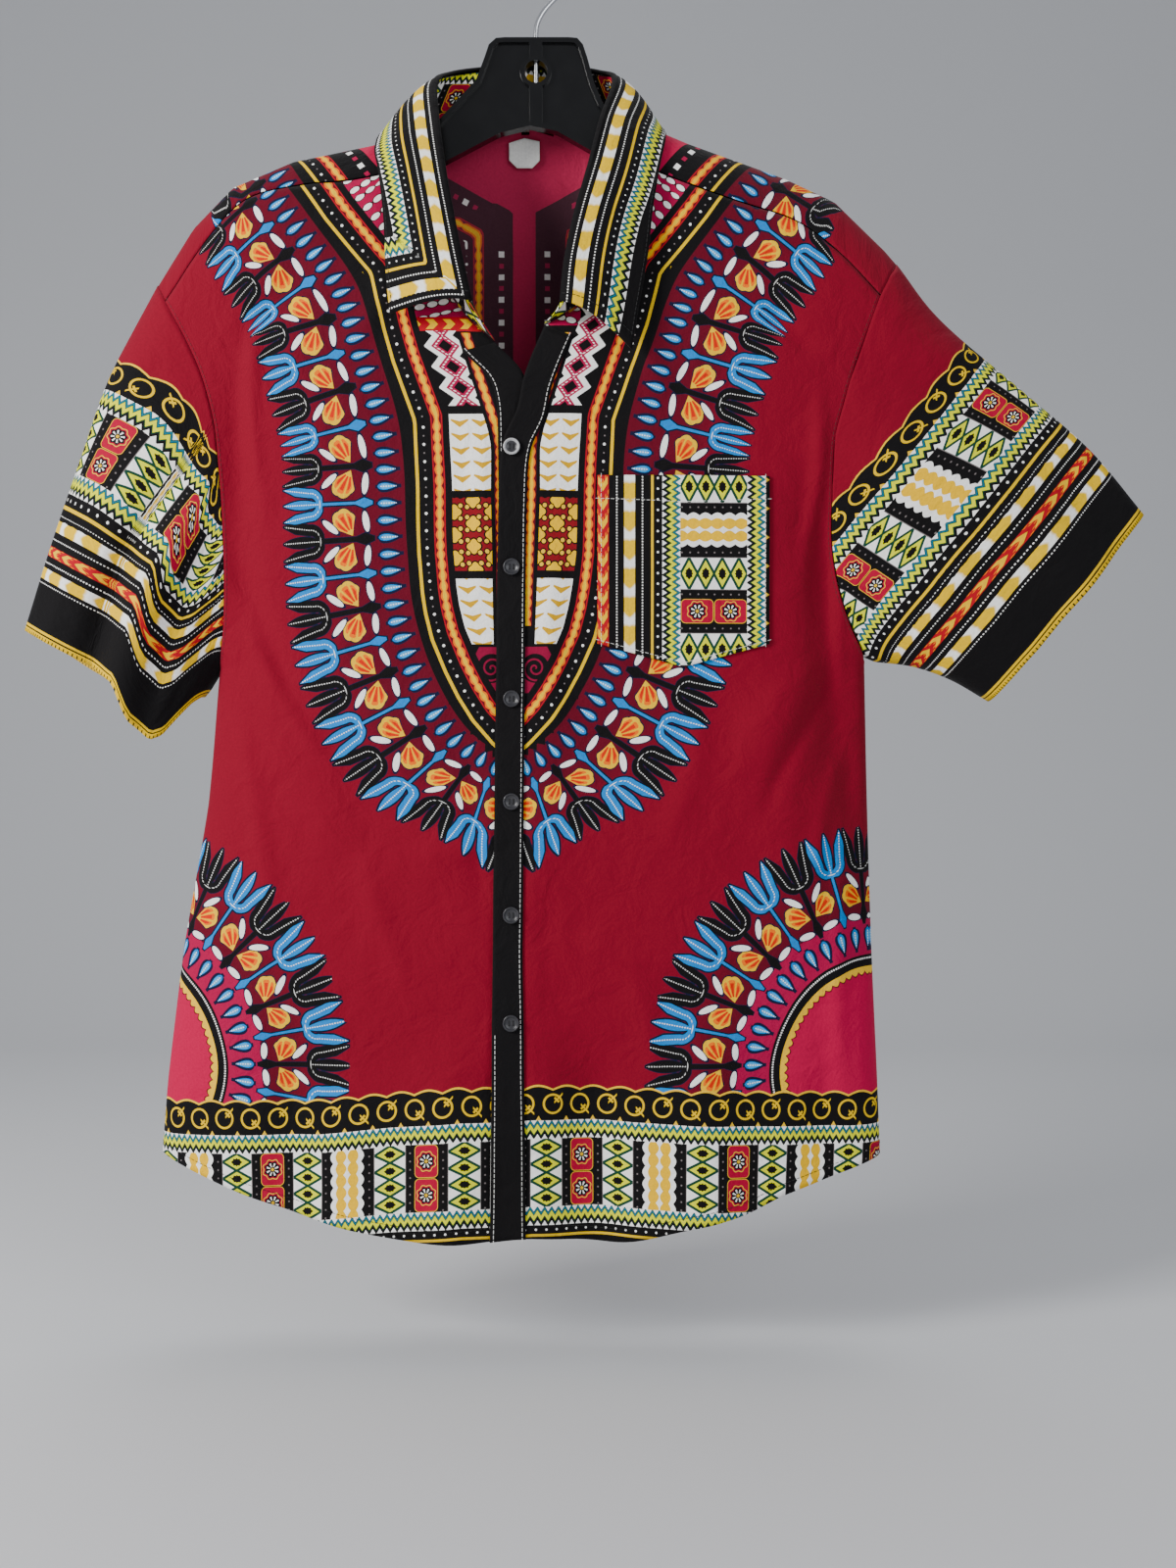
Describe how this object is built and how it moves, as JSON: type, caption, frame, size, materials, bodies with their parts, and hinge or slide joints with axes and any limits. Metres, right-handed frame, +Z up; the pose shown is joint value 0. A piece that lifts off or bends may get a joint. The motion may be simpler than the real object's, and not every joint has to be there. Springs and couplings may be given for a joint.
{
  "type": "african print shirt on a plastic hanger",
  "caption": "Short-sleeved, collared, button-front shirt in crimson african print cotton, hanging with its neck open on a black moulded hanger with a wire hook.",
  "frame": {"origin": "the inside top of the hanger's hook, where a rail touches it", "axes": "+Z up, +Y towards the shirt's back, so the front faces -Y; +X is the viewer's right"},
  "size_m": [0.7857, 0.1033, 0.9023],
  "materials": {
    "print_cotton": "wax-printed plain-weave cotton, crimson ground with a multicoloured neck, sleeve and hem print",
    "black_cotton": "matt black plain-weave cotton",
    "label_tape": "white satin tape, bare",
    "button": "polished resin",
    "hanger_plastic": "satin black moulded plastic",
    "hook_steel": "plated steel wire"
  },
  "bodies": {
    "root": {"front_left": "print_cotton", "front_right": "print_cotton", "back": "print_cotton", "sleeve_left": "print_cotton", "sleeve_right": "print_cotton", "collar_leaf": "print_cotton", "collar_stand": "print_cotton", "pocket": "print_cotton", "placket": "black_cotton", "under_placket": "black_cotton", "neck_label": "label_tape", "button_1": "button", "button_2": "button", "button_3": "button", "button_4": "button", "button_5": "button", "button_6": "button", "hanger_body": "hanger_plastic", "hanger_hook": "hook_steel"}
  },
  "joints": []
}
